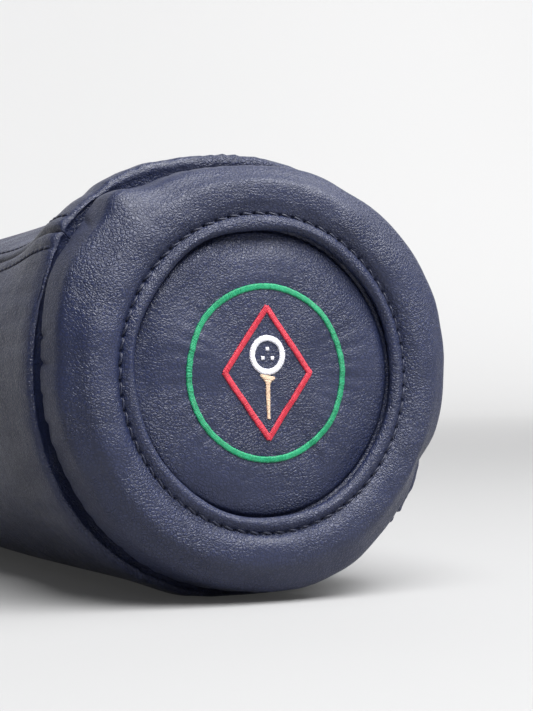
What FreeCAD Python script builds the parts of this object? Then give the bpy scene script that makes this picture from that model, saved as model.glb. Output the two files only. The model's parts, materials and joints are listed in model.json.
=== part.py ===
"""Barrel-shaped leather golf head cover (travel case for a driver head), lying on its side.

Millimetres, +Z up. The origin is on the table, under the middle of the cover. The closed,
embroidered end faces -Y and the open mouth faces +Y. The barrel tapers, so it rests on its
underside with its axis sloping down a little towards the mouth.

Shapes are made in the barrel's own frame and laid on the table last: Y runs back along the
axis from the closed end's front plane, so y is also called the station t, and Z is up across
the axis. An inset is a depth below the outer leather.
"""

import math
import os

import FreeCAD
import Part

# ---- driving dimensions ---------------------------------------------------------------------
length = 320.0            # closed end to mouth
rim_radius = 60.0         # widest part, just behind the closed end
mouth_radius = 45.5
table_press = 1.4         # how far the soft underside is pressed flat by the table
leather = 1.4             # leather thickness
body_foam_thickness = 3.0
lining_thickness = 2.4    # short fleece
gap = 0.1                 # clear space between layers that only touch

seam_angle = 142.5        # first lengthwise seam, degrees from +X seen from the closed end
stitch_row_offset = 5.0   # topstitch rows each side of a lengthwise seam
seam_margin = 7.0         # how far a panel's edge is turned under at a lengthwise seam
stitch_pitch = 3.8
stitch_length = 3.0
thread_radius = 0.35

crease_t = 20.0           # where the closed end's ring is sewn to the barrel
crease_radius = 55.5
seam_allowance = 8.0

ring_inner_radius = 37.8  # folded edge round the embroidered disc
ring_stitch_radius = 41.5
ring_shoulder_radius = 9.0
ring_outer_radius = 58.0
ring_margin_radius = 46.0  # how far the folded edge is turned under
ring_foam_thickness = 3.0

disc_radius = 41.0
disc_front_t = 0.7
disc_dome_height = 3.3
disc_pad_back_t = 8.6
board_thickness = 1.3
board_radius = 43.0
end_lining_radius = 50.1

foam_end_t = 283.0
facing_start_t = 284.0
elastic_width = 22.0
elastic_thickness = 1.0
hem_stitch_t = 312.0
hem_fold = 1.4

# ---- values worked out from them ------------------------------------------------------------
rim_t = crease_t + 7.0
slope = math.asin((rim_radius - mouth_radius) / (length - rim_t))
axis_height = rim_radius * math.cos(slope) + rim_t * math.sin(slope) - table_press
front_reach = (ring_outer_radius - ring_shoulder_radius) * math.sin(slope)
back_reach = length * math.cos(slope) + mouth_radius * math.sin(slope)
reach = 400.0             # half the size of a tool that is larger than the part

LAID_DOWN = FreeCAD.Placement(
    FreeCAD.Vector(0, (front_reach - back_reach) / 2, axis_height),
    FreeCAD.Rotation(FreeCAD.Vector(1, 0, 0), -math.degrees(slope)),
)
AXIS = FreeCAD.Vector(0, 1, 0)

# Outer leather: station and radius, from the crease over the rim and back to the mouth.
BARREL = [
    (crease_t, crease_radius),
    (21.2, 58.2),
    (23.5, 59.6),
    (rim_t, rim_radius),
    (60.0, 58.7),
    (120.0, 55.8),
    (200.0, 51.8),
    (260.0, 48.7),
    (length, mouth_radius),
]
# The lining's outside follows the barrel, but passes inside the closed end's seam allowance.
lining_inset = leather + 0.5 + body_foam_thickness + gap
LINING = [(12.0, 50.3), (29.0, 52.3)] + [
    (t, r - lining_inset) for t, r in [(45.0, 59.29)] + BARREL[4:]
]


def radius_at(stations, t):
    """Radius at a station, by straight lines between stations, carried on past both ends."""
    pairs = list(zip(stations, stations[1:]))
    for (t0, r0), (t1, r1) in pairs:
        if t <= t1 or (t1, r1) == stations[-1]:
            return r0 + (r1 - r0) * (t - t0) / (t1 - t0)


def place(x, t, z):
    return FreeCAD.Vector(x, t, z)


def height_above_table(point):
    return LAID_DOWN.multVec(point).z


def box(x0, x1, t0, t1, z0, z1):
    return Part.makeBox(x1 - x0, t1 - t0, z1 - z0, place(x0, t0, z0))


def below_table(height):
    """Everything lower than this height above the table, in the barrel's frame."""
    block = Part.makeBox(2 * reach, 4 * reach, reach, FreeCAD.Vector(-reach, -2 * reach, height - reach))
    block.Placement = LAID_DOWN.inverse().multiply(block.Placement)
    return block


def envelope(stations, inset, t0, t1, press=0.0):
    """The solid inside a round surface, flat where it is pressed on the table. press is the
    depth of stations' own surface below the outer leather."""
    between = [t for t, _ in stations if t0 + 0.01 < t < t1 - 0.01]
    outline = [(t, radius_at(stations, t) - inset) for t in [t0] + between + [t1]]
    solid = ring_of([(t0, 0)] + outline + [(t1, 0)])
    return solid.cut(below_table(inset + press))


def layer(stations, outer_inset, inner_inset, t0, t1, press=0.0):
    """A tube of material between two insets."""
    return envelope(stations, outer_inset, t0, t1, press).cut(
        envelope(stations, inner_inset, t0 - 0.5, t1 + 0.5, press)
    )


def ring_of(profile):
    """Turns a closed outline of (t, r) points round the barrel's axis. A point may be
    ("arc", middle, end), an arc through middle to end."""
    edges = []
    last = profile[0]
    for item in profile[1:] + [profile[0]]:
        end = item[2] if item[0] == "arc" else item
        corners = [place(r, t, 0) for t, r in (last, end)]
        if item[0] == "arc":
            t, r = item[1]
            edges.append(Part.Arc(corners[0], place(r, t, 0), corners[1]).toShape())
        else:
            edges.append(Part.makeLine(*corners))
        last = end
    return Part.Face(Part.Wire(edges)).revolve(place(0, 0, 0), AXIS, 360)


def round_arc(centre, radius):
    """An arc item for ring_of: a quarter round from facing -Y to facing outwards."""
    t, r = centre
    half = radius * math.sqrt(0.5)
    return ("arc", (t - half, r + half), (t, r + radius))


def round_arc_back(centre, radius):
    t, r = centre
    half = radius * math.sqrt(0.5)
    return ("arc", (t - half, r + half), (t - radius, r))


def tube(inner, outer, t0, t1):
    return ring_of([(t0, inner), (t0, outer), (t1, outer), (t1, inner)])


def stitch(middle, direction):
    """One stitch's visible thread, a short round rod."""
    along = FreeCAD.Vector(direction)
    along.normalize()
    start = middle - along * (stitch_length / 2)
    return Part.makeCylinder(thread_radius, stitch_length, start, along)


def stitch_circle(radius, t, floor=0.0):
    """A ring of stitches round the barrel's axis, lifted where it would be too near the table."""
    count = round(2 * math.pi * radius / stitch_pitch)
    rods = []
    for i in range(count):
        a = 2 * math.pi * (i + 0.5) / count
        middle = place(radius * math.cos(a), t, radius * math.sin(a))
        direction = FreeCAD.Vector(-math.sin(a), 0, math.cos(a))
        lift = floor - height_above_table(middle)
        if lift > 0:
            middle.z += lift / math.cos(slope)
            direction = FreeCAD.Vector(1, 0, 0)
        rods.append(stitch(middle, direction))
    return Part.makeCompound(rods)


# ---- the barrel -----------------------------------------------------------------------------
def seam_cutter(turn):
    """A half space bounded by the plane through the barrel's axis and both lengthwise seams."""
    half = Part.makeBox(2 * reach, 2 * reach, reach, FreeCAD.Vector(-reach, -reach, 0))
    half.rotate(FreeCAD.Vector(0, 0, 0), AXIS, -(seam_angle + turn))
    return half


def seam_strip(half_width):
    """A slab along both lengthwise seams, for cutting strips out of layers."""
    slab = Part.makeBox(2 * reach, reach, 2 * half_width, FreeCAD.Vector(-reach, 0, -half_width))
    slab.rotate(FreeCAD.Vector(0, 0, 0), AXIS, -seam_angle)
    return slab


def body_panels():
    """Two leather panels. Their edges are turned in along the lengthwise seams, at the front
    for the ring's seam and at the mouth for the hem."""
    groove = layer(BARREL, -1, 0.8, hem_stitch_t - 0.6, hem_stitch_t + 0.6)
    skin = layer(BARREL, 0, leather, crease_t, length).cut(groove)
    front = tube(crease_radius - leather + gap, crease_radius, crease_t, crease_t + seam_allowance)
    hem = layer(BARREL, 0, leather + 0.5 + elastic_thickness + 0.2, length - hem_fold, length)
    turned = layer(BARREL, leather, 2 * leather, crease_t + seam_allowance + 1, foam_end_t).common(
        seam_strip(seam_margin)
    )
    panels = []
    for turn in (0, 180):
        other_half = seam_cutter(turn)
        pieces = [piece.cut(other_half) for piece in (skin, front, hem, turned)]
        panels.append(pieces[0].fuse(pieces[1:]))
    return panels


def seam_direction(side):
    """Unit vector from the axis towards a lengthwise seam; side is 0 or 1."""
    a = math.radians(seam_angle + 180 * side)
    return FreeCAD.Vector(math.cos(a), 0, math.sin(a))


def seam_tape(side):
    """Reinforcing tape behind a lengthwise seam's turned edges."""
    start = crease_t + seam_allowance + 2
    sleeve = layer(BARREL, 2 * leather + gap, 2 * leather + 0.5, start, foam_end_t - 1)
    out = seam_direction(side) * reach
    tapes = sleeve.common(seam_strip(seam_margin - 1)).Solids
    return max(tapes, key=lambda tape: tape.CenterOfMass.dot(out))


def seam_topstitch(side):
    """The two rows of stitches that hold a lengthwise seam open."""
    out = seam_direction(side)
    across = FreeCAD.Vector(-out.z, 0, out.x)
    rods = []
    first, last = rim_t + 3, hem_stitch_t - 3
    count = int((last - first) / stitch_pitch)
    for row in (-1, 1):
        for i in range(count):
            ends = []
            for t in (first + i * stitch_pitch, first + i * stitch_pitch + stitch_length):
                rise = math.sqrt(radius_at(BARREL, t) ** 2 - stitch_row_offset**2)
                rise += thread_radius + 0.05
                ends.append(place(0, t, 0) + out * rise + across * (row * stitch_row_offset))
            rods.append(stitch((ends[0] + ends[1]) * 0.5, ends[1] - ends[0]))
    return Part.makeCompound(rods)


def body_foam():
    """Foam sleeve behind the leather, thinned where the seams' turned edges and tapes lie."""
    inset = leather + 0.5
    start = crease_t + seam_allowance + 1
    sleeve = layer(BARREL, inset, inset + body_foam_thickness, start, foam_end_t)
    channel = layer(BARREL, 0, 2 * leather + 0.6, crease_t, length).common(seam_strip(seam_margin + 0.3))
    return sleeve.cut(channel)


def body_lining():
    return layer(LINING, 0, lining_thickness, 12.7, facing_start_t + 5, lining_inset)


def mouth_elastic():
    inset = leather + 0.5
    start = facing_start_t + 2
    return layer(BARREL, inset, inset + elastic_thickness, start, start + elastic_width)


def mouth_facing():
    inset = leather + 0.5 + elastic_thickness + 0.3
    return layer(BARREL, inset, inset + leather, facing_start_t, length)


def mouth_topstitch():
    inset = thread_radius + 0.05
    return stitch_circle(radius_at(BARREL, hem_stitch_t) - inset, hem_stitch_t, inset)


def care_label():
    inset = lining_inset + lining_thickness + 0.05
    strip = layer(BARREL, inset, inset + 0.5, 262, 286)
    return strip.common(box(-11, 11, 260, 290, 0, 2 * rim_radius))


# ---- the closed end -------------------------------------------------------------------------
def end_ring_leather():
    """The ring round the disc: folded edge, stitch groove, rounded shoulder and turned seam."""
    corner = (ring_shoulder_radius, ring_outer_radius - ring_shoulder_radius)
    outside = [
        (0, ring_inner_radius),
        (0, ring_stitch_radius - 0.5),
        (0.75, ring_stitch_radius - 0.5),
        (0.75, ring_stitch_radius + 0.5),
        (0, ring_stitch_radius + 0.5),
        (0, corner[1]),
        round_arc(corner, ring_shoulder_radius),
        (crease_t - 0.2, crease_radius),
    ]
    allowance = [
        (crease_t - 0.2, crease_radius - leather),
        (crease_t + seam_allowance, crease_radius - leather),
        (crease_t + seam_allowance, crease_radius - 2 * leather),
        (crease_t - 1.6, crease_radius - 2 * leather),
        (crease_t - 1.6, crease_radius - leather + 0.3),
    ]
    inside = [
        (corner[0], ring_outer_radius - leather),
        round_arc_back(corner, ring_shoulder_radius - leather),
        (leather, ring_margin_radius),
        (2 * leather, ring_margin_radius),
        (2 * leather, ring_inner_radius),
    ]
    return ring_of(outside + allowance + inside)


def end_ring_foam():
    corner = (ring_shoulder_radius, ring_outer_radius - ring_shoulder_radius)
    outer = ring_shoulder_radius - leather - gap
    inner = outer - ring_foam_thickness
    return ring_of(
        [
            (corner[0] - outer, ring_margin_radius + 0.2),
            (corner[0] - outer, corner[1]),
            round_arc(corner, outer),
            (crease_t - 1.8, 54.3),
            (crease_t - 1.8, 54.3 - ring_foam_thickness),
            (corner[0], corner[1] + inner),
            round_arc_back(corner, inner),
            (corner[0] - inner, ring_margin_radius + 0.2),
        ]
    )


def end_ring_topstitch():
    return stitch_circle(ring_stitch_radius, thread_radius + 0.02)


def end_seam_stitches():
    radius = crease_radius - 2 * leather - thread_radius - 0.05
    return stitch_circle(radius, crease_t + 2.5)


dome_radius = (disc_radius**2 + disc_dome_height**2) / (2 * disc_dome_height)


def dome(depth):
    """A ball whose front is the disc's domed face, sunk by depth."""
    return Part.makeSphere(dome_radius - depth, place(0, disc_front_t + dome_radius, 0))


def dome_layer(depth, thickness, edge):
    """A round piece of sheet that follows the dome."""
    rod = Part.makeCylinder(edge, 20, place(0, -5, 0), AXIS)
    return rod.common(dome(depth)).cut(dome(depth + thickness))


def end_disc_leather():
    return dome_layer(0, leather, disc_radius)


def embroidery_backing():
    return dome_layer(leather + 0.05, 0.3, 33)


def end_disc_foam():
    depth = leather + 0.4
    rod = Part.makeCylinder(disc_radius - 1, disc_pad_back_t, place(0, 0, 0), AXIS)
    return rod.common(dome(depth))


def end_disc_board():
    start = disc_pad_back_t + gap
    return Part.makeCylinder(board_radius, board_thickness, place(0, start, 0), AXIS)


def end_lining():
    start = disc_pad_back_t + board_thickness + 2 * gap
    return Part.makeCylinder(end_lining_radius, lining_thickness, place(0, start, 0), AXIS)


# ---- embroidery: a plain ball on a tee, in a diamond inside a ring ----------------------------
thread_height = 0.55
satin = 1.6               # width of a satin-stitched line
badge_radius = 22.5
diamond_half = (12.5, 17.0)
ball_height = 4.6
ball_radius = 4.4
dimple_radius = 0.45
cup_half_width = 2.6
cup_depth = 2.2
stem_half_width = 0.6
tee_tip_height = -12.0


def from_disc(u, v):
    """A point in front of the disc: u to the right and v up from its centre."""
    return place(u, -2, v)


def raised(face):
    """A flat shape in front of the disc becomes thread lying on its dome."""
    column = face.extrude(FreeCAD.Vector(0, 12, 0))
    return column.common(dome(-thread_height - 0.05)).cut(dome(-0.05))


def circle_face(u, v, radius):
    return Part.Face(Part.Wire(Part.Circle(from_disc(u, v), AXIS, radius).toShape()))


def circle_band(u, v, radius):
    band = raised(circle_face(u, v, radius + satin / 2))
    return band.cut(raised(circle_face(u, v, radius - satin / 2)))


def polygon_face(points):
    corners = [from_disc(u, v) for u, v in points]
    return Part.Face(Part.makePolygon(corners + corners[:1]))


def embroidery_ring():
    return circle_band(0, 0, badge_radius)


def diamond(share):
    u, v = (half * share for half in diamond_half)
    return polygon_face([(-u, 0), (0, -v), (u, 0), (0, v)])


def embroidery_diamond():
    slant = diamond_half[0] * diamond_half[1] / math.hypot(*diamond_half)
    grow = satin / 2 / slant
    return raised(diamond(1 + grow)).cut(raised(diamond(1 - grow)))


def embroidery_ball():
    """The ball's outline and three dimples."""
    dimples = []
    for i in range(3):
        a = math.radians(90 + 120 * i)
        u, v = 1.6 * math.cos(a), ball_height + 1.6 * math.sin(a)
        dimples.append(raised(circle_face(u, v, dimple_radius)))
    return Part.makeCompound([circle_band(0, ball_height, ball_radius)] + dimples)


def embroidery_tee():
    top = ball_height - ball_radius - satin / 2 - 0.15
    neck = top - cup_depth
    half = [
        (cup_half_width, top),
        (stem_half_width, neck),
        (stem_half_width / 2, tee_tip_height),
    ]
    return raised(polygon_face(half + [(-u, v) for u, v in reversed(half)]))


PARTS = {
    "seam_tape_left": lambda: seam_tape(0),
    "seam_tape_right": lambda: seam_tape(1),
    "seam_topstitch_left": lambda: seam_topstitch(0),
    "seam_topstitch_right": lambda: seam_topstitch(1),
    "body_foam": body_foam,
    "body_lining": body_lining,
    "mouth_elastic": mouth_elastic,
    "mouth_facing": mouth_facing,
    "mouth_topstitch": mouth_topstitch,
    "care_label": care_label,
    "end_ring_leather": end_ring_leather,
    "end_ring_foam": end_ring_foam,
    "end_ring_topstitch": end_ring_topstitch,
    "end_seam_stitches": end_seam_stitches,
    "end_disc_leather": end_disc_leather,
    "end_disc_foam": end_disc_foam,
    "end_disc_board": end_disc_board,
    "end_lining": end_lining,
    "embroidery_backing": embroidery_backing,
    "embroidery_ring": embroidery_ring,
    "embroidery_diamond": embroidery_diamond,
    "embroidery_ball": embroidery_ball,
    "embroidery_tee": embroidery_tee,
}


def export(name, shape):
    solids = shape.Solids
    whole = solids[0] if len(solids) == 1 else Part.makeCompound(solids)
    whole.Placement = LAID_DOWN.multiply(whole.Placement)
    whole.exportStep(f"parts/{name}.step")
    limits = whole.BoundBox
    valid = all(s.isValid() and s.Volume > 0 for s in solids)
    print(
        f"{name:22s} solids {len(solids):3d} valid {valid} volume {whole.Volume:10.1f}"
        f"  x {limits.XMin:.2f} {limits.XMax:.2f}  y {limits.YMin:.2f} {limits.YMax:.2f}"
        f"  z {limits.ZMin:.2f} {limits.ZMax:.2f}"
    )


def main():
    os.makedirs("parts", exist_ok=True)
    upper, lower = body_panels()
    export("body_panel_upper", upper)
    export("body_panel_lower", lower)
    for name, make in PARTS.items():
        export(name, make())


main()
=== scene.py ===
import json
import math

import bmesh
import bpy
import numpy as np
from mathutils import Matrix, Vector


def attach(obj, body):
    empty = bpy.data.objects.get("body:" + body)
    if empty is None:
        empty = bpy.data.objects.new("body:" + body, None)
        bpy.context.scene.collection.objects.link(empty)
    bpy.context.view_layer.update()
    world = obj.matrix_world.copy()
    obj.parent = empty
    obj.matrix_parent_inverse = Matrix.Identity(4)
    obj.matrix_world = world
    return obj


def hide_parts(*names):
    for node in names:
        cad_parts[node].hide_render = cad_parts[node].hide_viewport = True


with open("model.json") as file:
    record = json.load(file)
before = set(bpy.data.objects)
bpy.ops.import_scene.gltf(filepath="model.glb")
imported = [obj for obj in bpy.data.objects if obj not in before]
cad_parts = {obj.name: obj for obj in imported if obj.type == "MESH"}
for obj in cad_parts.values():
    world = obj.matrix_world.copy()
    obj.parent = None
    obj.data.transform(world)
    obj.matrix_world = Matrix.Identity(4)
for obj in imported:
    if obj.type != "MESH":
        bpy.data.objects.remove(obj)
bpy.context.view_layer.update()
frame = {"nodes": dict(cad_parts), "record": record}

# ---- the barrel's own frame -----------------------------------------------------------------
# Shapes are worked out in millimetres in the CAD's barrel frame: x to the right seen from the
# closed end, t back along the axis from the closed end's front plane, z up across the axis.
RIM_T, RIM_R, MOUTH_R, LENGTH = 27.0, 60.0, 45.5, 320.0
SLOPE = math.asin((RIM_R - MOUTH_R) / (LENGTH - RIM_T))
COS, SIN = math.cos(SLOPE), math.sin(SLOPE)
AXIS_HEIGHT = RIM_R * COS + RIM_T * SIN - 1.4
FRONT_Y = (49.0 * SIN - LENGTH * COS - MOUTH_R * SIN) / 2
SEAM = 142.5            # angle of the upper lengthwise seam; the lower one is opposite
LEATHER = 1.4
PRESS_SOFTNESS = 0.55   # how gently the underside flattens on the table


def laid(points):
    """Barrel-frame points as millimetres above the table."""
    p = np.asarray(points, float)
    x, t, z = p[..., 0], p[..., 1], p[..., 2]
    return np.stack([x, FRONT_Y + t * COS + z * SIN, AXIS_HEIGHT - t * SIN + z * COS], -1)


def direction(vector):
    """A barrel-frame direction, as it points once the barrel is laid down."""
    return laid(np.asarray(vector, float)) - laid(np.zeros(3))


def pressed(points, inset):
    """The same points, flattened softly where they would be below the table or too near it."""
    w = laid(points)
    z = w[..., 2] - inset
    rounded = PRESS_SOFTNESS * np.log1p(np.exp(np.clip(z / PRESS_SOFTNESS, -60, 60)))
    w[..., 2] = inset + np.where(z > 8 * PRESS_SOFTNESS, z, rounded)
    return w


# ---- smooth irregular shapes ----------------------------------------------------------------
def turn_between(a, b):
    """Smallest signed turn from b to a, in degrees."""
    return (np.asarray(a) - b + 180.0) % 360.0 - 180.0


def around(angle, bumps, base=0.0):
    """A value that varies round the circle: base plus soft bumps of (angle, half width, height)."""
    total = np.full(np.shape(angle), float(base))
    for centre, width, height in bumps:
        total += height * np.exp(-((turn_between(angle, centre) / width) ** 2))
    return total


def dents(angle, t, spots):
    """Soft dents and swellings of (angle, t, half width in degrees, half length, height)."""
    total = np.zeros(np.broadcast(angle, t).shape)
    for a, t0, wide, long, height in spots:
        total += height * np.exp(-((turn_between(angle, a) / wide) ** 2) - ((t - t0) / long) ** 2)
    return total


def ripple(angle, t, low, high, seed, drift=0.0, terms=16):
    """Irregular waves round the circle with between low and high crests, about 1 high."""
    rng = np.random.default_rng(seed)
    a = np.radians(angle)
    total = np.zeros(np.broadcast(angle, t).shape)
    for _ in range(terms):
        n = rng.integers(low, high + 1)
        total += np.sin(n * a + rng.uniform(0, 2 * np.pi) + drift * rng.normal() * t)
    return total / math.sqrt(terms / 2)


def smooth_step(x, start, end):
    s = np.clip((np.asarray(x, float) - start) / (end - start), 0, 1)
    return s * s * (3 - 2 * s)


def spline(controls, spacing):
    """Points along a Catmull-Rom curve. controls is (..., k, 2), and spacing has the number of
    points on each of its k - 1 spans."""
    c = np.asarray(controls, float)
    before, after = 2 * c[..., :1, :] - c[..., 1:2, :], 2 * c[..., -1:, :] - c[..., -2:-1, :]
    padded = np.concatenate([before, c, after], -2)
    out = []
    for i, count in enumerate(spacing):
        p0, p1, p2, p3 = (padded[..., i + j, :] for j in range(4))
        for s in np.arange(count) / count:
            out.append(0.5 * (2 * p1 + (p2 - p0) * s + (2 * p0 - 5 * p1 + 4 * p2 - p3) * s**2
                              + (3 * p1 - p0 - 3 * p2 + p3) * s**3))
    out.append(c[..., -1, :])
    return np.stack(out, -2)


# ---- the outer leather's shape --------------------------------------------------------------
RING_LUMPS = [  # (angle, half width, height)
    (131, 5.5, 3.6), (150, 13, 2.2), (94, 21, -2.3), (24, 27, 1.9), (-27, 7, -2.2), (-42, 12, -0.8),
    (-68, 18, 1.2), (-112, 20, -0.8), (-150, 22, -0.8), (60, 6, -0.8), (176, 5, -0.5),
]
CREASE_LUMPS = [  # the same
    (133, 10, 4.2), (153, 12, 3.0), (92, 22, -3.6), (24, 27, 1.4), (-32, 10, -2.6), (-112, 18, 0.9),
    (-160, 18, -0.7),
]
RIDGE_LUMPS = [  # the same, fading back from the rim
    (141, 10, 2.6), (122, 13, 1.9), (96, 14, -0.4), (64, 16, 0.8), (182, 28, -1.3), (-64, 14, 0.9),
    (-31, 19, 5.0), (-95, 12, 0.6), (-150, 20, 0.4),
]
BARREL_SPOTS = [  # (angle, t, half width, half length, height)
    (120, 66, 19, 34, -6.0), (104, 116, 27, 44, -4.0), (108, 178, 30, 44, -2.2),
    (186, 78, 20, 24, -1.5), (206, 60, 15, 22, -1.9), (168, 130, 18, 36, 1.2),
    (226, 110, 16, 34, 1.4), (60, 118, 28, 40, -2.0), (18, 196, 24, 36, -1.5),
    (95, 216, 22, 42, 1.1), (320, 90, 16, 26, -1.6), (340, 160, 20, 34, 1.2),
    (200, 236, 26, 34, -1.6), (140, 250, 18, 26, -1.2), (45, 262, 20, 26, -1.2),
    (2, 84, 18, 26, -1.4), (72, 66, 15, 30, -1.2),
]


def ring_radius(angle):
    return around(angle, RING_LUMPS, 57.4)


def crease_radius(angle):
    return around(angle, CREASE_LUMPS, 56.0)


def barrel_radius(angle, t):
    """Outer leather's radius from the rim back."""
    s = (t - RIM_T) / (LENGTH - RIM_T)
    r = RIM_R - 14.5 * s + 1.6 * s * (1 - s)
    r = r + around(angle, RIDGE_LUMPS) * np.exp(-(((t - RIM_T) / 26.0) ** 2))
    r = r + dents(angle, t, BARREL_SPOTS) * smooth_step(t, 27, 50)
    r = r + 0.34 * ripple(angle, t, 5, 17, 3, 0.012) * smooth_step(t, 26, 60)
    r = r + 0.10 * ripple(angle, t, 22, 60, 4, 0.02) * np.exp(-(((t - 34) / 12.0) ** 2))
    r = r + 0.22 * ripple(angle, t, 20, 46, 5, 0.01) * smooth_step(t, 280, 306)
    return r


def seam_dip(angle, t):
    """How far the leather sinks at the two lengthwise seams and under their stitches."""
    dip = 0.0
    for seam in (SEAM, SEAM + 180):
        s = np.radians(turn_between(angle, seam)) * np.maximum(barrel_radius(angle, t), 40.0)
        dip = dip + 1.35 * np.exp(-((s / 0.75) ** 2)) - 0.35 * np.exp(-((np.abs(s) - 2.6) / 1.7) ** 2)
        dip = dip + 0.38 * np.exp(-(((np.abs(s) - 5.0) / 0.7) ** 2))
    return dip


def polar(angle, t, r):
    a = np.radians(angle)
    return np.stack(np.broadcast_arrays(r * np.cos(a), t + 0.0 * r, r * np.sin(a)), -1)


def skin(angle, t, inset):
    """Points inset under the barrel's outer leather, from the rim back."""
    dip = seam_dip(angle, t) * (inset < 1)  # the layers below the leather don't follow the stitches
    return pressed(polar(angle, t, barrel_radius(angle, t) - dip - inset), inset)


# ---- meshes ---------------------------------------------------------------------------------
def mesh_piece(name, verts, faces, slot, stands_for=()):
    """A smooth piece from points in millimetres, its faces turned outwards."""
    mesh = bpy.data.meshes.new(name)
    faces = [tuple(int(i) for i in f) for f in faces]
    mesh.from_pydata((np.asarray(verts) / 1000.0).tolist(), [], faces)
    mesh.validate()
    surface = bmesh.new()
    surface.from_mesh(mesh)
    bmesh.ops.recalc_face_normals(surface, faces=surface.faces)
    surface.to_mesh(mesh)
    surface.free()
    mesh.update()
    mesh.shade_smooth()
    obj = bpy.data.objects.new(name, mesh)
    bpy.context.scene.collection.objects.link(obj)
    obj.data.materials.append(MATERIALS[slot])
    if stands_for:
        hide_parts(*stands_for)
    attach(obj, "root")
    return obj


def quads(rows, cols, wrap_rows, wrap_cols, start=0):
    """Faces of a grid of points, rows by cols."""
    i = np.arange(rows if wrap_rows else rows - 1)
    j = np.arange(cols if wrap_cols else cols - 1)
    i, j = np.meshgrid(i, j, indexing="ij")
    k, m = (i + 1) % rows, (j + 1) % cols
    return start + np.stack([i * cols + j, i * cols + m, k * cols + m, k * cols + j], -1).reshape(-1, 4)


def turned(name, grid, slot, stands_for=()):
    """A ring-shaped piece: grid is angles by points of a closed outline."""
    rows, cols = grid.shape[:2]
    return mesh_piece(name, grid.reshape(-1, 3), quads(rows, cols, True, True), slot, stands_for)


def part_turned(name, outer, inner, slot, stands_for=()):
    """A piece over part of the circle: outer and inner are angles by points, front to back."""
    rows, cols = outer.shape[:2]
    grid = np.concatenate([outer, inner[:, ::-1]], 1)
    faces = list(quads(rows, 2 * cols, False, True))
    for row, flip in ((0, False), (rows - 1, True)):
        base = row * 2 * cols
        for j in range(cols - 1):
            f = (base + j, base + j + 1, base + 2 * cols - 2 - j, base + 2 * cols - 1 - j)
            faces.append(f if flip else f[::-1])
    return mesh_piece(name, grid.reshape(-1, 3), faces, slot, stands_for)


def tubes(name, paths, radius, slot, stands_for=(), sides=6, flat=1.0, normals=None):
    """Many threads as one mesh. paths are point lists; flat squeezes each thread's height."""
    verts, faces, start = [], [], 0
    for n, path in enumerate(paths):
        p = np.asarray(path, float)
        along = np.gradient(p, axis=0)
        along /= np.linalg.norm(along, axis=1)[:, None]
        up = np.array([0.0, -1.0, 0.0]) if normals is None else normals[n]
        side = np.cross(along, up)
        side /= np.linalg.norm(side, axis=1)[:, None]
        lift = np.cross(side, along)
        taper = np.ones(len(p))
        taper[0] = taper[-1] = 0.55
        a = 2 * np.pi * np.arange(sides) / sides
        ring = np.cos(a)[None, :, None] * side[:, None, :]
        ring = ring + flat * np.sin(a)[None, :, None] * lift[:, None, :]
        verts.append((p[:, None, :] + radius * taper[:, None, None] * ring).reshape(-1, 3))
        faces += [tuple(f) for f in quads(len(p), sides, False, True, start)]
        faces.append(tuple(start + i for i in range(sides)))
        faces.append(tuple(start + (len(p) - 1) * sides + i for i in reversed(range(sides))))
        start += len(p) * sides
    return mesh_piece(name, np.concatenate(verts), faces, slot, stands_for)


# ---- materials ------------------------------------------------------------------------------
BARREL_START_Y = (-0.1425, -0.132)  # in metres: where the closed end gives way to the barrel


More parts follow.
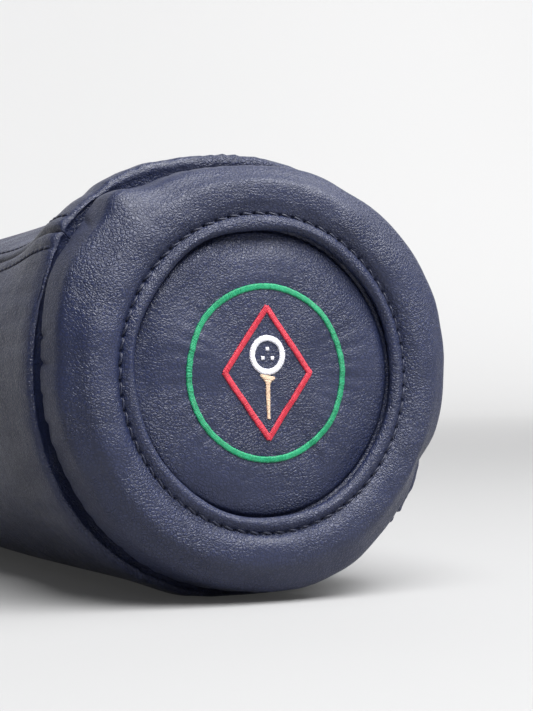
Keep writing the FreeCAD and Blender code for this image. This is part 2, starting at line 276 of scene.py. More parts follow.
class Graph:
    """A short way to write a node material."""

    def __init__(self, name):
        self.material = bpy.data.materials.new(name)
        self.material.use_nodes = True
        self.tree = self.material.node_tree
        self.tree.nodes.clear()
        self.shader = self.node("ShaderNodeBsdfPrincipled")
        out = self.node("ShaderNodeOutputMaterial")
        self.tree.links.new(self.shader.outputs[0], out.inputs["Surface"])
        self.place = self.node("ShaderNodeTexCoord").outputs["Object"]

    def node(self, kind, settings=None, **inputs):
        n = self.tree.nodes.new(kind)
        for key, value in (settings or {}).items():
            setattr(n, key, value)
        for key, value in inputs.items():
            self.put(n.inputs[key.replace("_", " ")], value)
        return n

    def put(self, socket, value):
        if isinstance(value, bpy.types.NodeSocket):
            self.tree.links.new(value, socket)
        else:
            socket.default_value = value

    def noise(self, scale, detail=3.0, where=None, roughness=0.55):
        n = self.node("ShaderNodeTexNoise", Scale=scale, Detail=detail, Roughness=roughness)
        self.put(n.inputs["Vector"], where or self.place)
        return n.outputs["Fac"]

    def warped(self, scale, amount):
        """The place, pushed about by noise."""
        n = self.node("ShaderNodeTexNoise", Scale=scale, Detail=2.0)
        self.put(n.inputs["Vector"], self.place)
        scaled = self.node("ShaderNodeVectorMath", {"operation": "SCALE"}, Scale=amount)
        self.put(scaled.inputs[0], n.outputs["Color"])
        added = self.node("ShaderNodeVectorMath", {"operation": "ADD"})
        self.put(added.inputs[0], self.place)
        self.put(added.inputs[1], scaled.outputs[0])
        return added.outputs[0]

    def math(self, operation, a, b=0.0):
        n = self.node("ShaderNodeMath", {"operation": operation})
        self.put(n.inputs[0], a)
        self.put(n.inputs[1], b)
        return n.outputs[0]

    def remap(self, value, low, high, to_low, to_high):
        n = self.node("ShaderNodeMapRange", {"interpolation_type": "SMOOTHSTEP"})
        for socket, v in zip(("Value", "From Min", "From Max", "To Min", "To Max"),
                             (value, low, high, to_low, to_high)):
            self.put(n.inputs[socket], v)
        return n.outputs[0]

    def mix(self, share, a, b):
        n = self.node("ShaderNodeMix", {"data_type": "RGBA"})
        self.put(n.inputs[0], share)
        self.put(n.inputs[6], a if isinstance(a, bpy.types.NodeSocket) else (*a, 1.0))
        self.put(n.inputs[7], b if isinstance(b, bpy.types.NodeSocket) else (*b, 1.0))
        return n.outputs[2]

    def bump(self, height, strength, distance, under=None):
        n = self.node("ShaderNodeBump", Strength=strength, Distance=distance, Height=height)
        if under is not None:
            self.put(n.inputs["Normal"], under)
        return n.outputs[0]

    def finish(self, **sockets):
        for key, value in sockets.items():
            self.put(self.shader.inputs[key.replace("_", " ")], value)
        return self.material


def leather(name, dark, light):
    """Pebbled leather: rounded cells between fine creases, fainter in smooth patches, and looser
    on the barrel than on the tight closed end."""
    g = Graph(name)
    where = g.warped(420.0, 0.0011)
    cells = g.node("ShaderNodeTexVoronoi", {"feature": "DISTANCE_TO_EDGE"}, Scale=1050.0)
    g.put(cells.inputs["Vector"], where)
    pebble = g.remap(cells.outputs["Distance"], 0.0, 0.26, 0.0, 1.0)
    small = g.node("ShaderNodeTexVoronoi", {"feature": "DISTANCE_TO_EDGE"}, Scale=2100.0)
    g.put(small.inputs["Vector"], where)
    crease = g.remap(small.outputs["Distance"], 0.0, 0.3, 0.0, 1.0)
    patch = g.remap(g.noise(38.0, 3.0), 0.36, 0.66, 0.35, 1.0)
    height = g.math("ADD", g.math("MULTIPLY", pebble, 0.7), g.math("MULTIPLY", crease, 0.3))
    split = g.node("ShaderNodeSeparateXYZ", Vector=g.place)
    coarse = g.remap(split.outputs["Y"], *BARREL_START_Y, 1.0, 1.5)
    height = g.math("MULTIPLY", g.math("MULTIPLY", height, patch), coarse)
    wrinkle = g.noise(150.0, 4.0, g.warped(60.0, 0.01), 0.6)
    loose = g.remap(split.outputs["Y"], *BARREL_START_Y, 1.0, 2.6)
    normal = g.bump(g.math("MULTIPLY", wrinkle, loose), 0.5, 0.0007)
    normal = g.bump(height, 1.0, 0.00021, normal)
    # painted shade: the colour darkens into the pebble grain's creases, on top of tone that differs at random
    tone_and_painted_shade = g.math("MULTIPLY", g.noise(26.0, 3.0), pebble)
    colour = g.mix(g.remap(tone_and_painted_shade, 0.0, 0.75, 0.0, 1.0), dark, light)
    rough = g.remap(g.noise(70.0, 4.0), 0.3, 0.7, 0.31, 0.40)
    rough = g.math("ADD", rough, g.math("MULTIPLY", g.math("SUBTRACT", 1.0, pebble), 0.12))
    return g.finish(Base_Color=colour, Roughness=rough, Normal=normal, Specular_IOR_Level=0.5)


def thread(name, dark, light, sheen=0.3, roughness=0.42):
    """Twisted thread: fine strands and a little variation between stitches."""
    g = Graph(name)
    strands = g.noise(5200.0, 2.0, g.warped(900.0, 0.0004))
    patch = g.noise(420.0, 2.0)
    # painted shade: the colour follows the strands' bump, darker in the dips between strands, with a little random
    # tone between stitches
    tone_and_painted_shade = g.math("ADD", g.math("MULTIPLY", strands, 0.6), g.math("MULTIPLY", patch, 0.4))
    share = g.remap(tone_and_painted_shade, 0.3, 0.7, 0.0, 1.0)
    rough = g.remap(strands, 0.3, 0.7, roughness, roughness + 0.15)
    return g.finish(Base_Color=g.mix(share, dark, light), Roughness=rough,
                    Normal=g.bump(strands, 0.5, 0.0001), Sheen_Weight=sheen, Sheen_Roughness=0.35,
                    Specular_IOR_Level=0.45)


def cloth(name, dark, light, scale, depth, roughness=0.85, sheen=0.25):
    """Woven or non-woven cloth, or short fleece at a coarser scale."""
    g = Graph(name)
    where = g.warped(scale * 0.5, 0.6 / scale)
    cells = g.node("ShaderNodeTexVoronoi", {"feature": "SMOOTH_F1"}, Scale=scale)
    g.put(cells.inputs["Vector"], where)
    height = g.math("SUBTRACT", 1.0, cells.outputs["Distance"])
    fuzz = g.noise(scale * 3.0, 3.0)
    height = g.math("ADD", g.math("MULTIPLY", height, 0.7), g.math("MULTIPLY", fuzz, 0.5))
    # painted shade: the colour darkens where the bump's cells and fuzz are low, on top of random tone
    tone_and_painted_shade = g.math("MULTIPLY", height, g.remap(g.noise(scale * 0.05), 0.3, 0.7, 0.75, 1.1))
    share = g.remap(tone_and_painted_shade, 0.3, 0.95, 0.0, 1.0)
    return g.finish(Base_Color=g.mix(share, dark, light), Roughness=roughness,
                    Normal=g.bump(height, 0.7, depth), Sheen_Weight=sheen, Sheen_Roughness=0.6,
                    Specular_IOR_Level=0.25)


def weave(name, dark, light, scale, depth):
    """Plain weave from two crossing sets of yarns."""
    g = Graph(name)
    waves = []
    for axis in ("X", "Y", "Z"):
        w = g.node("ShaderNodeTexWave", {"bands_direction": axis}, Scale=scale, Distortion=0.6, Detail=1.0)
        g.put(w.inputs["Vector"], g.place)
        waves.append(w.outputs["Fac"])
    crossed = g.math("MULTIPLY", waves[0], waves[2])
    height = g.math("MAXIMUM", crossed, g.math("SUBTRACT", waves[1], 0.25))
    # painted shade: the colour darkens where the crossing yarns' bump is low, on top of random tone
    tone_and_painted_shade = g.math("ADD", height, g.math("MULTIPLY", g.noise(scale * 2), 0.4))
    share = g.remap(tone_and_painted_shade, 0.2, 1.1, 0.0, 1.0)
    return g.finish(Base_Color=g.mix(share, dark, light), Roughness=0.75,
                    Normal=g.bump(height, 0.6, depth), Sheen_Weight=0.15, Specular_IOR_Level=0.3)


MATERIALS = {
    "leather": leather("navy_leather", (0.011, 0.016, 0.046), (0.021, 0.028, 0.076)),
    "navy_thread": thread("navy_thread", (0.008, 0.010, 0.026), (0.024, 0.030, 0.066), 0.12, 0.34),
    "green_thread": thread("green_thread", (0.004, 0.20, 0.085), (0.018, 0.38, 0.18), 0.12, 0.38),
    "red_thread": thread("red_thread", (0.42, 0.014, 0.035), (0.66, 0.035, 0.07), 0.12, 0.38),
    "white_thread": thread("white_thread", (0.66, 0.66, 0.74), (0.88, 0.88, 0.93), 0.2, 0.38),
    "tan_thread": thread("tan_thread", (0.60, 0.42, 0.28), (0.82, 0.62, 0.46), 0.2, 0.38),
    "fleece": cloth("navy_fleece", (0.018, 0.022, 0.040), (0.060, 0.070, 0.110), 620.0, 0.0012),
    "foam": cloth("grey_foam", (0.20, 0.20, 0.22), (0.34, 0.34, 0.36), 1500.0, 0.0003, 0.9, 0.0),
    "board": cloth("board", (0.10, 0.10, 0.11), (0.16, 0.16, 0.17), 900.0, 0.0001, 0.7, 0.0),
    "backing": cloth("backing", (0.66, 0.66, 0.64), (0.86, 0.86, 0.84), 1800.0, 0.0002),
    "tape": weave("seam_tape_weave", (0.35, 0.35, 0.36), (0.60, 0.60, 0.60), 900.0, 0.0002),
    "elastic": weave("elastic_weave", (0.02, 0.02, 0.022), (0.06, 0.06, 0.066), 500.0, 0.0004),
    "label": weave("label_weave", (0.62, 0.62, 0.60), (0.86, 0.86, 0.84), 1100.0, 0.0001),
}
for part in frame["record"]["subparts"]:
    node = frame["nodes"][part["node"]]
    node.data.materials.clear()
    node.data.materials.append(MATERIALS[part["material_slot"]])

# ---- barrel ---------------------------------------------------------------------------------
ROLL = [  # (t, radius from the crease's, radius from the rim's, share of the rim's)
    (21.6, -5.4, 0.0, 0.0), (21.4, -3.0, 0.0, 0.0), (21.2, -0.8, 0.0, 0.0), (20.8, 1.3, -3.2, 0.45),
    (20.2, 2.2, -1.7, 0.85), (21.1, 0.0, -0.45, 1.0), (23.6, 0.0, -0.05, 1.0), (RIM_T, 0.0, 0.0, 1.0),
    (29.0, 0.0, 0.0, 1.0),
]
ROLL_POINTS = [3, 3, 4, 5, 5, 4, 4, 3]  # on each span between them
ROLL_TOP = 17                           # first point of the outline past the roll's overhang


def gathers(angle, t):
    """Puckers where the leather is gathered into the closed end's seam."""
    fade = np.exp(-(((t - 20.8) / 2.2) ** 2)) * (0.55 + 0.45 * ripple(angle, 0 * t, 3, 9, 8))
    return 0.12 * fade * ripple(angle, t, 60, 120, 11, 0.05)


def barrel_outline(angle):
    """Outer leather from the bottom of the crease to the mouth's fold, angles by points."""
    a = angle[:, None]
    controls = []
    for t, from_crease, from_rim, share in ROLL:
        rim = barrel_radius(a, max(t, RIM_T)) + from_rim
        r = (1 - share) * (crease_radius(a) + from_crease) + share * rim
        controls.append(np.concatenate([np.full_like(r, t), r], -1))
    roll = spline(np.stack(controls, 1), ROLL_POINTS)
    t, r = roll[..., 0], roll[..., 1]
    r = r + gathers(a, t) * smooth_step(t, 20.2, 21.2)
    spans = [(29.8, 70, 0.9), (70.5, 306, 2.0), (306.5, 318.2, 0.6)]
    back_t = np.concatenate([np.arange(*span) for span in spans])
    back_r = barrel_radius(a, back_t[None, :]) + gathers(a, back_t[None, :])
    back_r = back_r - 0.45 * np.exp(-(((back_t[None, :] - 312.0) / 0.8) ** 2))
    t = np.concatenate([t, np.broadcast_to(back_t, back_r.shape)], 1)
    r = np.concatenate([r, back_r], 1) - seam_dip(a, t) * smooth_step(t, 19.5, 22.0)
    end = r[:, -1:]
    hem = [(318.9, 0.15), (319.5, 0.5), (319.9, 1.1), (320.0, 1.8), (319.7, 2.5), (319.0, 3.0)]
    t = np.concatenate([t] + [np.full_like(end, h) for h, _ in hem], 1)
    r = np.concatenate([r] + [end - drop for _, drop in hem], 1)
    return t, r


def build_panel(name, start, node):
    edge = 0.1
    near = np.array([0.0, 0.25, 0.5, 0.8, 1.1, 1.5, 2.0, 2.6, 3.2, 3.8, 4.3, 4.7, 5.0, 5.3, 5.7, 6.2, 6.9])
    middle = np.linspace(7.7, 172.3, 228)
    angle = start + np.concatenate([edge + near, middle, 180 - edge - near[::-1]])
    t, r = barrel_outline(angle)
    a = angle[:, None]
    path = np.stack([t, r], -1)
    along = np.gradient(path, axis=1)
    along /= np.linalg.norm(along, axis=-1)[..., None]
    depth = 0.9 + (LEATHER - 0.9) * smooth_step(t, 21.0, 24.0)
    inner_t, inner_r = t + depth * along[..., 1], r - depth * along[..., 0]
    outer = pressed(polar(a, t, r), 0.0)
    inner = pressed(polar(a, inner_t, inner_r), LEATHER)
    return part_turned(name, outer, inner, "leather", [node])


build_panel("barrel_leather_lower", SEAM, "body_panel_lower")
build_panel("barrel_leather_upper", SEAM + 180, "body_panel_upper")


def sleeve(name, slot, node, t0, t1, inset, thickness, spacing=3.0, squeeze=None):
    """A closed tube of material between two depths under the leather."""
    angle = np.arange(0, 360, 1.5)[:, None]
    t = np.linspace(t0, t1, max(3, int((t1 - t0) / spacing)))[None, :]
    extra = 0.0 if squeeze is None else squeeze(angle, t)
    shape = barrel_radius(angle, np.maximum(t, RIM_T)) - extra
    outer = pressed(polar(angle, t, shape - inset), inset)
    inner = pressed(polar(angle, t, shape - inset - thickness), inset + thickness)
    return turned(name, np.concatenate([outer, inner[:, ::-1]], 1), slot, [node])


def tape(name, node, side):
    """Seam tape behind a lengthwise seam."""
    angle = SEAM + 180 * side + np.linspace(-6.2, 6.2, 13)[:, None]
    t = np.linspace(30.5, 281.5, 90)[None, :]
    return part_turned(name, skin(angle, t, 1.45), skin(angle, t, 1.85), "tape", [node])


tape("seam_tape_upper", "seam_tape_left", 0)
tape("seam_tape_lower", "seam_tape_right", 1)


def front_squeeze(angle, t):
    """The lining draws in towards the closed end."""
    return 3.2 * (1 - smooth_step(t, 14, 46)) + 0.25 * ripple(angle, t, 8, 26, 21, 0.01)


sleeve("barrel_foam", "foam", "body_foam", 29.5, 283.0, LEATHER + 0.5, 3.0)
sleeve("barrel_lining", "fleece", "body_lining", 12.9, 289.0, 5.0, 2.4, 3.0, front_squeeze)
sleeve("mouth_elastic_band", "elastic", "mouth_elastic", 286.0, 308.0, 1.9, 1.0)
sleeve("mouth_facing_leather", "leather", "mouth_facing", 284.0, 319.2, 3.2, LEATHER, 1.2)

# ---- closed end: ring -----------------------------------------------------------------------
STITCHES = 69
STEP = 360.0 / STITCHES
PER_STITCH = 12
STITCH_R = 41.5


def ring_outline(angle):
    """The ring's outside from the turned margin under the lip to the crease, angles by points."""
    a = angle[:, None]
    outer, crease = ring_radius(a), crease_radius(a)
    lip = 0.18 * ripple(a, 0 * a, 3, 8, 31)
    lift = 0.25 * ripple(a, 0 * a, 2, 6, 32)

    def at(t, r):
        return np.concatenate([np.broadcast_to(t, a.shape), np.broadcast_to(r, a.shape)], -1)

    controls = [
        at(3.0, 46.0), at(3.0, 42.0), at(2.9, 39.2 + lip), at(1.8, 37.8 + lip), at(0.5, 37.6 + lip),
        at(-0.55, 38.5 + lip), at(-0.65, 39.6), at(0.1, 40.8), at(0.85, STITCH_R), at(0.55, 42.1),
        at(-0.3 - lift, 43.3), at(-1.0 - lift, 45.8), at(-0.5 - 0.5 * lift, 50.0),
        at(2.1, 0.35 * 50.6 + 0.65 * (outer - 2.6)), at(5.3, outer - 0.9), at(9.5, outer - 0.1),
        at(14.0, 0.8 * outer + 0.2 * crease + 0.2), at(16.7, 0.4 * outer + 0.6 * crease + 0.2),
        at(18.2, crease - 1.2), at(18.8, crease - 3.0), at(19.2, crease - 5.2),
    ]
    counts = [2, 3, 4, 4, 5, 4, 4, 4, 4, 5, 6, 7, 7, 7, 7, 7, 6, 5, 4, 3]
    path = spline(np.stack(controls, 1), counts)
    return path[..., 0], path[..., 1]


FOLDS = [  # short creases on the ring's side: (angle, half width, depth, slant)
    (170.5, 0.9, 0.55, 0.25), (176.5, 0.8, 0.7, -0.1), (-174.5, 0.9, 0.5, 0.2), (-167.0, 0.8, 0.35, 0.15),
    (119.0, 1.2, 0.5, 0.3), (137.0, 1.0, 0.5, -0.4), (57.0, 1.3, 0.8, 0.5), (66.0, 1.0, 0.5, 0.2),
    (-26.0, 1.6, 1.0, -0.5), (-35.0, 1.3, 0.8, 0.6), (-52.0, 1.1, 0.5, 0.4), (-90.0, 1.2, 0.4, 0.2),
    (8.0, 1.2, 0.45, 0.3), (96.0, 1.1, 0.35, -0.2), (-128.0, 1.0, 0.35, 0.2),
]


def ring_relief(angle, t, r):
    """Wrinkles, gathers and needle holes on the ring, as a depth added along t and taken from r."""
    side = smooth_step(t, 3.0, 15.0)
    depth = 0.10 * side * ripple(angle, t, 40, 90, 41, 0.06) * (0.6 + 0.4 * ripple(angle, 0 * t, 3, 8, 42))
    for centre, width, deep, slant in FOLDS:
        off = turn_between(angle, centre + slant * (t - 18.0))
        depth = depth + deep * smooth_step(t, 7.0, 16.0) * np.exp(-((off / width) ** 2))
    face = smooth_step(r, 43.0, 46.0) * (1 - side)
    depth = depth + 0.13 * face * ripple(angle, r, 9, 30, 43, 0.12)
    return depth


def holes(angle, r):
    """Needle holes, and the slack leather between them, on the ring's stitch line."""
    phase = (angle / STEP) % 1.0
    along = np.minimum(phase, 1 - phase) * STEP * math.radians(1) * STITCH_R
    hole = np.exp(-((along / 0.36) ** 2) - (((r - STITCH_R) / 0.36) ** 2))
    between = np.exp(-(((r - STITCH_R) / 1.1) ** 2)) * (0.5 - 0.5 * np.cos(2 * np.pi * phase))
    return 0.8 * hole - 0.12 * between


def build_ring():
    angle = np.arange(STITCHES * PER_STITCH) * (STEP / PER_STITCH)
    a = angle[:, None]
    t, r = ring_outline(angle)
    relief = ring_relief(a, t, r)
    front = 1 - smooth_step(t, 0.5, 6.0)
    visible = smooth_step(np.arange(t.shape[1])[None, :], 8, 16)
    t2 = t + relief * front * visible + holes(a, r) * (t < 1.2) * visible
    r2 = r - relief * (1 - front)
    inside = [
        (17.9, crease_radius(a) - 5.4), (16.4, crease_radius(a) - 2.8), (14.0, ring_radius(a) - 1.9),
        (9.5, ring_radius(a) - 1.6), (5.6, ring_radius(a) - 2.3), (3.0, ring_radius(a) - 4.4),
        (1.3, 50.2), (0.85, 47.0),
    ]
    t3 = np.concatenate([t2] + [np.full_like(a, ti) for ti, _ in inside], 1)
    r3 = np.concatenate([r2] + [np.broadcast_to(ri, a.shape) for _, ri in inside], 1)
    return turned("end_ring", pressed(polar(a, t3, r3), 0.0), "leather", ["end_ring_leather"])


build_ring()

angle = np.arange(0, 360, 2.0)[:, None]
ring_pad = [(1.9, 46.4), (2.2, 49.6), (4.0, ring_radius(angle) - 5.0), (6.4, ring_radius(angle) - 3.0),
            (9.5, ring_radius(angle) - 2.2), (14.0, ring_radius(angle) - 2.6), (17.4, crease_radius(angle) - 2.6),
            (17.4, 50.9), (14.0, 51.0), (9.5, 51.6), (6.5, 50.4), (4.9, 48.0), (4.6, 46.4)]
pad_t = np.concatenate([np.full_like(angle, t) for t, _ in ring_pad], 1)
pad_r = np.concatenate([np.broadcast_to(r, angle.shape) for _, r in ring_pad], 1)
pad_points = pressed(polar(angle, pad_t, pad_r), 1.5)
turned("end_ring_pad", pad_points, "foam", ["end_ring_foam"])


# ---- closed end: padded disc ----------------------------------------------------------------
DISC_R = 41.0
DISC_RIM_T = 3.7
DISC_HEIGHT = 3.3


def disc_grid(rings, spokes):
    """Rings of points over a disc, closer together near its edge, and their faces."""
    radius = DISC_R * np.sin(np.linspace(0, np.pi / 2, rings + 1)[1:]) ** 0.8
    a = 2 * np.pi * np.arange(spokes) / spokes
    x = np.concatenate([[0.0], (radius[:, None] * np.cos(a)).ravel()])
    z = np.concatenate([[0.0], (radius[:, None] * np.sin(a)).ravel()])
    faces = [(0, 1 + i, 1 + (i + 1) % spokes) for i in range(spokes)]
    faces += [tuple(f) for f in quads(rings, spokes, False, True, 1)]
    return x, z, faces


def inflated_disc():
    """How far the disc's leather bulges, as radius against a share of its height, from a cloth
    simulation: a flat round held at its edge and blown up from behind."""
    x, z, faces = disc_grid(22, 72)
    mesh = bpy.data.meshes.new("blown_disc")
    verts = np.stack([x, 0 * x, z], -1) / 1000.0
    mesh.from_pydata(verts.tolist(), [], faces)
    obj = bpy.data.objects.new("blown_disc", mesh)
    bpy.context.scene.collection.objects.link(obj)
    held = obj.vertex_groups.new(name="held")
    held.add([i for i, v in enumerate(verts) if math.hypot(v[0], v[2]) > 0.0385], 1.0, "REPLACE")
    modifier = obj.modifiers.new("blow", "CLOTH")
    settings = modifier.settings
    settings.quality = 8
    settings.mass = 0.05
    settings.tension_stiffness = 12.0
    settings.compression_stiffness = 12.0
    settings.bending_stiffness = 0.5
    settings.air_damping = 4.0
    settings.vertex_group_mass = "held"
    settings.use_pressure = True
    settings.uniform_pressure_force = 3.0
    settings.effector_weights.gravity = 0.0
    modifier.point_cache.frame_end = 25
    for step in range(1, 26):
        bpy.context.scene.frame_set(step)
    done = obj.evaluated_get(bpy.context.evaluated_depsgraph_get()).to_mesh()
    moved = np.array([v.co for v in done.vertices])
    bulge = np.abs(moved[:, 1])
    bpy.data.objects.remove(obj)
    bpy.context.scene.frame_set(1)
    rings = np.concatenate([[bulge[0]], bulge[1:].reshape(-1, 72).mean(1)])
    return np.concatenate([[0.0], np.hypot(x, z)[1::72]]), rings / rings.max()


def dome_profile():
    return inflated_disc()


dome_r, dome_share = dome_profile()
levels = np.linspace(0, DISC_R, 30)
dome_share = np.interp(levels, dome_r, dome_share)
dome_share = 1 - np.clip(1 - dome_share, 0, 1) ** 2.8  # the foam behind fills it out to the edge


def disc_front(x, z):
    """The disc's outer face as a station, with puckers round the embroidery and loose waves."""
    r, angle = np.hypot(x, z), np.degrees(np.arctan2(z, x))
    t = DISC_RIM_T - DISC_HEIGHT * np.interp(r, levels, dome_share)
    fade = 1 - smooth_step(r, 34.0, 38.5)
    t = t + 0.16 * fade * ripple(angle, r, 3, 9, 51, 0.12) * smooth_step(r, 2, 16)
    pucker = 0.06 * ripple(angle, r, 14, 40, 52, 0.1) * np.exp(-(((r - 24) / 6.0) ** 2))
    t = t + 0.22 * np.exp(-(((r - 22.5) / 2.2) ** 2)) + pucker
    t = t + 0.30 * ripple(angle, r, 2, 5, 53, 0.03) * np.exp(-(((r - 35.0) / 3.0) ** 2))
    t = t + 0.7 * np.exp(-(((r - 37.5) / 0.55) ** 2))
    return t


def build_disc():
    x, z, faces = disc_grid(96, 360)
    t = disc_front(x, z)
    front = pressed(np.stack([x, t, z], -1), 0)
    back = pressed(np.stack([x, t + LEATHER, z], -1), 0)
    n = len(x)
    faces = faces + [tuple(n + i for i in reversed(f)) for f in faces]
    rim = [n - 360 + i for i in range(360)]
    faces += [(rim[i], rim[i] + n, rim[(i + 1) % 360] + n, rim[(i + 1) % 360]) for i in range(360)]
    faces = [tuple(reversed(f)) for f in faces]
    return mesh_piece("end_disc", np.concatenate([front, back]), faces, "leather", ["end_disc_leather"])


build_disc()


def disc_layer(name, slot, node, radius, depth, thickness, rings=30, spokes=120, flat_back=None):
    """A round layer behind the disc's leather."""
    x, z, faces = disc_grid(rings, spokes)
    x, z = x * radius / DISC_R, z * radius / DISC_R
    t = disc_front(x, z) + depth
    back_t = t + thickness if flat_back is None else np.full_like(t, flat_back)
    n = len(x)
    verts = np.concatenate([laid(np.stack([x, t, z], -1)), laid(np.stack([x, back_t, z], -1))])
    faces = faces + [tuple(n + i for i in reversed(f)) for f in faces]
    rim = [n - spokes + i for i in range(spokes)]
    faces += [(rim[i], rim[i] + n, rim[(i + 1) % spokes] + n, rim[(i + 1) % spokes]) for i in range(spokes)]
    return mesh_piece(name, verts, [tuple(reversed(f)) for f in faces], slot, [node])


disc_layer("embroidery_backing_cloth", "backing", "embroidery_backing", 33.0, LEATHER + 0.05, 0.3)
disc_pad = disc_layer("end_disc_pad", "foam", "end_disc_foam", 40.0, LEATHER + 0.4, 0.0, flat_back=8.6)


def end_fleece():
    """The fleece seen through the mouth, at the closed end's back."""
    x, z, faces = disc_grid(30, 120)
    x, z = x * 50.0 / DISC_R, z * 50.0 / DISC_R
    r, angle = np.hypot(x, z), np.degrees(np.arctan2(z, x))
    t = 10.4 + 0.25 * ripple(angle, r, 3, 9, 55, 0.1) * smooth_step(r, 4, 20) * (1 - smooth_step(r, 44, 50))
    n = len(x)
    verts = np.concatenate([laid(np.stack([x, t - 0.1, z], -1)), laid(np.stack([x, t + 2.2, z], -1))])
    faces = faces + [tuple(n + i for i in reversed(f)) for f in faces]
    rim = [n - 120 + i for i in range(120)]
    faces += [(rim[i], rim[i] + n, rim[(i + 1) % 120] + n, rim[(i + 1) % 120]) for i in range(120)]
    mesh_piece("end_fleece_round", verts, [tuple(reversed(f)) for f in faces], "fleece", ["end_lining"])


end_fleece()


# ---- stitches -------------------------------------------------------------------------------
def arched(start, end, high, low, count=9):
    """A stitch from hole to hole: start and end are points on the leather with unit normals."""
    (p, n), (q, m) = start, end
    s = np.linspace(0, 1, count)[:, None]
    lift = low + (high - low) * np.sin(np.pi * s) ** 0.55
    return p * (1 - s) + q * s + (n * (1 - s) + m * s) * lift


def ring_stitches():
    paths = []
    rng = np.random.default_rng(61)
    front = direction([0.0, -1.0, 0.0])
    for i in range(STITCHES):
        slant = 0.42 + rng.normal(0, 0.08)
        ends = []
        for share, side in ((0.03, -1), (0.97, 1)):
            a = (i + share) * STEP
            r = STITCH_R + side * slant
            ends.append((laid(polar(a, 0.75, np.array(r))), front))
        paths.append(arched(*ends, 0.30 + rng.normal(0, 0.05), -0.95))
    return tubes("end_ring_stitches", paths, 0.31, "navy_thread", ["end_ring_topstitch"])


ring_stitches()


def seam_stitches(side, name, node):
    """Two rows of stitches beside a lengthwise seam, over the rim's roll and along the barrel."""
    paths, normals = [], []
    rng = np.random.default_rng(62 + side)
    first, last, pitch = 22.0, 309.0, 3.8
    seam = SEAM + 180 * side
    for row in (-1, 1):
        for i in range(int((last - first) / pitch)):
            ends = []
            for share, shift in ((0.04, -0.2), (0.96, 0.2)):
                t = np.array(first + (i + share) * pitch)
                t_in = np.maximum(t, RIM_T)
                off = math.degrees((5.0 * row + shift + rng.normal(0, 0.05)) / 58.0)
                a = seam + off * 58.0 / float(barrel_radius(seam, t_in))
                if t < 29.0:
                    tt, rr = barrel_outline(np.array([a]))
                    k = ROLL_TOP + int(np.argmin(np.abs(tt[0, ROLL_TOP:40] - t)))
                    p = pressed(polar(a, t, rr[0, k]), 0.0)
                else:
                    p = skin(a, t, 0.0)
                ends.append((p, direction(polar(a, 0.0, np.array(1.0)))))
            paths.append(arched(*ends, 0.34, -0.55))
            normals.append(ends[0][1])
    return tubes(name, paths, 0.34, "navy_thread", [node], normals=normals)


seam_stitches(0, "seam_stitches_left", "seam_topstitch_left")
seam_stitches(1, "seam_stitches_right", "seam_topstitch_right")


def hem_stitches():
    """One row of stitches round the mouth."""
    paths, normals = [], []
    count = 75
    step = 360.0 / count
    for i in range(count):
        ends = []
        for share in (0.06, 0.94):
            a = (i + share) * step
            t = np.array(312.0)
            p = pressed(polar(a, t, barrel_radius(a, t) - 0.45), 0.4)
            ends.append((p, direction(polar(a, 0.0, np.array(1.0)))))
        paths.append(arched(*ends, 0.3, -0.5))
        normals.append(ends[0][1])
    return tubes("mouth_stitches", paths, 0.34, "navy_thread", ["mouth_topstitch"], normals=normals)


hem_stitches()


# ---- embroidery -----------------------------------------------------------------------------
def on_disc(x, z):
    return np.stack([x, disc_front(x, z), z], -1)


def satin(points, widths, pitch, height, seed, closed=False, slant=0.18):
    """Threads laid side by side across a line on the disc."""
    rng = np.random.default_rng(seed)
    p = np.asarray(points, float)
    w = np.broadcast_to(widths, len(p)).astype(float)
    if closed:
        p = np.concatenate([p, p[:1]])
        w = np.concatenate([w, w[:1]])
    d = np.concatenate([[0.0], np.cumsum(np.linalg.norm(np.diff(p, axis=0), axis=1))])
    count = max(2, int(round(d[-1] / pitch)))
    at = (np.arange(count) + (0.0 if closed else 0.5)) * d[-1] / count
    out = []
    for s in at:
        c = np.array([np.interp(s, d, p[:, 0]), np.interp(s, d, p[:, 1])])
        e = min(0.25, d[-1] / 4)
        ahead, behind = [(x % d[-1]) if closed else min(max(x, 0.0), d[-1]) for x in (s + e, s - e)]
        along = np.array([np.interp(ahead, d, p[:, k]) - np.interp(behind, d, p[:, k]) for k in (0, 1)])
        along /= max(np.linalg.norm(along), 1e-9)
        across = np.array([-along[1], along[0]])
        half = np.interp(s, d, w) / 2 * (1 + rng.normal(0, 0.035))
        u = np.linspace(-1, 1, 9)
        lean = slant * (1 + rng.normal(0, 0.15))
        xy = c + np.outer(u * half, across) + np.outer(u * half * lean, along)
        path = on_disc(xy[:, 0], xy[:, 1])
        path[:, 1] -= (height + rng.normal(0, 0.03)) * np.sqrt(np.clip(1 - u**4, 0, 1)) - 0.22
        out.append(laid(path))
    return out


def embroidered(name, node, slot, paths, radius=0.23):
    front = direction([0.0, -1.0, 0.0])
    return tubes(name, paths, radius, slot, [node], sides=6, flat=0.8, normals=[front] * len(paths))


SATIN = 1.6
PITCH = 0.36
circle = np.radians(np.arange(0, 360, 1.0))
badge = np.stack([22.5 * np.cos(circle), 22.5 * np.sin(circle)], -1)
embroidered("stitched_ring", "embroidery_ring", "green_thread", satin(badge, SATIN, PITCH, 0.5, 71, True))

corners = np.array([(0.0, 17.0), (12.5, 0.0), (0.0, -17.0), (-12.5, 0.0)])
sides = []
for i in range(4):
    a, b = corners[i], corners[(i + 1) % 4]
    unit = (b - a) / np.linalg.norm(b - a)
    sides += satin(np.linspace(a - 0.25 * unit, b + 0.25 * unit, 40), SATIN, PITCH, 0.5, 72 + i)
embroidered("stitched_diamond", "embroidery_diamond", "red_thread", sides)

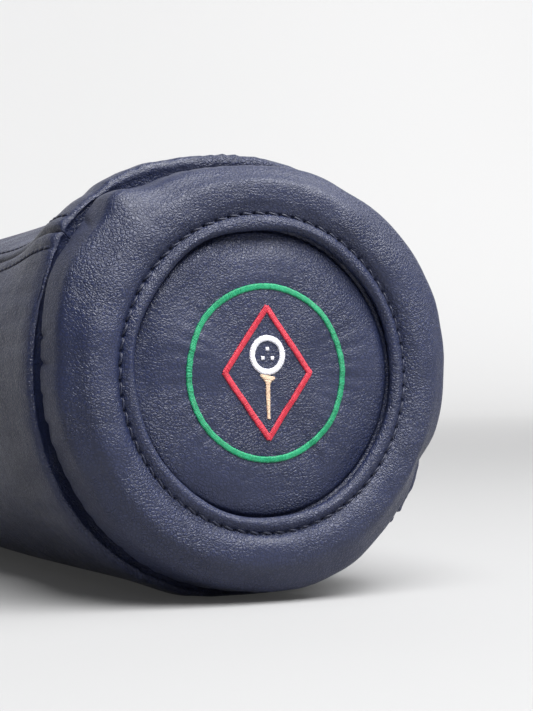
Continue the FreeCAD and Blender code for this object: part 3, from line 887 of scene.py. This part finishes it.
BALL_H, BALL_R = 4.6, 4.4
ball = satin(np.stack([BALL_R * np.cos(circle), BALL_H + BALL_R * np.sin(circle)], -1), SATIN, PITCH, 0.5, 81, True)
for i in range(3):
    a = math.radians(90 + 120 * i)
    c = np.array([1.6 * math.cos(a), BALL_H + 1.6 * math.sin(a)])
    ball += satin([c - (0.45, 0), c + (0.45, 0)], 0.95, 0.3, 0.42, 84 + i, False, 0.0)
embroidered("stitched_ball", "embroidery_ball", "white_thread", ball, 0.2)

tee_z = [-0.75, -1.3, -2.0, -2.8, -6.0, -12.0]
tee_w = [5.2, 4.4, 2.6, 1.3, 1.15, 0.7]
tee_line = np.stack([np.zeros(60), np.linspace(tee_z[0], tee_z[-1], 60)], -1)
tee_widths = np.interp(-tee_line[:, 1], [-z for z in tee_z], tee_w)
embroidered("stitched_tee", "embroidery_tee", "tan_thread", satin(tee_line, tee_widths, 0.34, 0.46, 88), 0.2)


# ---- care label -----------------------------------------------------------------------------
def care_label():
    """A blank label sewn under the facing's edge, curling a little off the lining."""
    x = np.linspace(-11, 11, 23)
    t = np.linspace(262, 286, 25)
    xx, tt = np.meshgrid(x, t, indexing="ij")
    angle = 90 - np.degrees(xx / 40.0)
    curl = 2.6 * (1 - smooth_step(tt, 262, 280)) ** 1.5 * (1 + 0.3 * np.sin(xx * 0.35))
    radius = barrel_radius(angle, tt) - 7.6 - curl
    top, under = laid(polar(angle, tt, radius)), laid(polar(angle, tt, radius - 0.45))
    return part_turned("care_label_blank", top, under, "label", ["care_label"])


care_label()

# ---- stage, light and camera ----------------------------------------------------------------
def stage_surface():
    """A pale sweep: floor in front, curving up into a backdrop. The sweep glows, faintly on the floor and more up
    the backdrop and towards the right: painted light that evens out its brightness. The floor's colour is painted
    dark well in front and to the left: painted shade standing in for a table's edge and a dark room."""
    profile = [(-1.6, 0.0), (0.9, 0.0)]
    profile += [(0.9 + 0.6 * math.sin(a), 0.6 - 0.6 * math.cos(a)) for a in np.radians(np.arange(6, 91, 6))]
    profile += [(1.5, 2.6)]
    verts = [(x, y, z - 0.0002) for y, z in profile for x in (-1.3, 3.0)]
    faces = [(2 * i, 2 * i + 1, 2 * i + 3, 2 * i + 2) for i in range(len(profile) - 1)]
    mesh = bpy.data.meshes.new("sweep")
    mesh.from_pydata(verts, [], faces)
    mesh.shade_smooth()
    obj = bpy.data.objects.new("sweep", mesh)
    bpy.context.scene.collection.objects.link(obj)
    g = Graph("sweep_paper")
    split = g.node("ShaderNodeSeparateXYZ", Vector=g.place)
    # painted light: the sweep glows, faintly on the floor and more towards the back and the right
    far = g.remap(split.outputs["Y"], 0.2, 1.4, 0.03, 0.54)
    glow = g.math("ADD", far, g.remap(split.outputs["X"], 0.4, 1.3, 0.0, 0.14))
    # painted shade: the floor's colour is darkened well in front and to the left, in place of a dark room
    near = g.remap(split.outputs["Y"], -0.75, -0.35, 0.0, 1.0)
    lit = g.math("MULTIPLY", near, g.remap(split.outputs["X"], -0.6, -0.28, 0.25, 1.0))
    shade = g.mix(lit, (0.06, 0.06, 0.062), (0.33, 0.33, 0.333))
    mesh.materials.append(g.finish(Base_Color=shade, Roughness=0.9, Specular_IOR_Level=0.1,
                                   Emission_Color=(1.0, 1.0, 1.0, 1.0), Emission_Strength=glow))


stage_surface()


def area_light(name, place, target, size, power):
    light = bpy.data.lights.new(name, "AREA")
    light.shape = "RECTANGLE"
    light.size, light.size_y = size
    light.energy = power
    obj = bpy.data.objects.new(name, light)
    bpy.context.scene.collection.objects.link(obj)
    obj.location = place
    obj.rotation_euler = (Vector(target) - Vector(place)).to_track_quat("-Z", "Y").to_euler()


area_light("key", (0.0, -0.75, 1.2), (0.0, -0.12, 0.05), (1.3, 0.9), 40.0)
area_light("top_right", (0.75, -0.35, 1.05), (0.0, -0.1, 0.05), (0.9, 1.0), 14.0)
area_light("front_right", (0.95, -1.35, 0.55), (0.0, -0.12, 0.06), (1.2, 0.9), 5.0)

world = bpy.data.worlds.new("studio")
world.use_nodes = True
world.node_tree.nodes["Background"].inputs["Color"].default_value = (1.0, 1.0, 1.0, 1.0)
world.node_tree.nodes["Background"].inputs["Strength"].default_value = 0.08
bpy.context.scene.world = world
bpy.context.scene.view_settings.view_transform = "Standard"

# The camera sees the closed end's stitch circle centred a little to the right of the picture's
# middle, from 27.8 degrees to its left and 2.3 degrees below its normal.
FOCAL_LENGTHS_PER_HEIGHT = 2000.0 / 711.0
camera_data = bpy.data.cameras.new("camera")
camera_data.sensor_width = 36.0
camera_data.lens = FOCAL_LENGTHS_PER_HEIGHT * camera_data.sensor_width
camera_data.clip_start = 0.01
camera = bpy.data.objects.new("camera", camera_data)
bpy.context.scene.collection.objects.link(camera)
to_disc = Vector((0.462, 4.462, 518.36))  # disc centre from the camera: right, down, ahead, in mm
normal = Vector((0.46556, -0.04015, -0.88411))
right = Vector((0.88482, 0.0, 0.46593))
up = Vector((-0.01871, -0.99919, 0.03552))
disc_axes = [Vector((1, 0, 0)), Vector((0, -COS, SIN)), Vector((0, SIN, COS))]
pairs = list(zip(disc_axes, (right, normal, up)))
turn = Matrix([[sum(w[i] * c[j] for w, c in pairs) for j in range(3)] for i in range(3)])
centre = Vector((0, FRONT_Y, AXIS_HEIGHT))
place = (centre - turn @ to_disc) / 1000.0
axes = turn @ Matrix(((1, 0, 0), (0, -1, 0), (0, 0, -1)))
camera.matrix_world = Matrix.Translation(place) @ axes.to_4x4()
bpy.context.scene.camera = camera
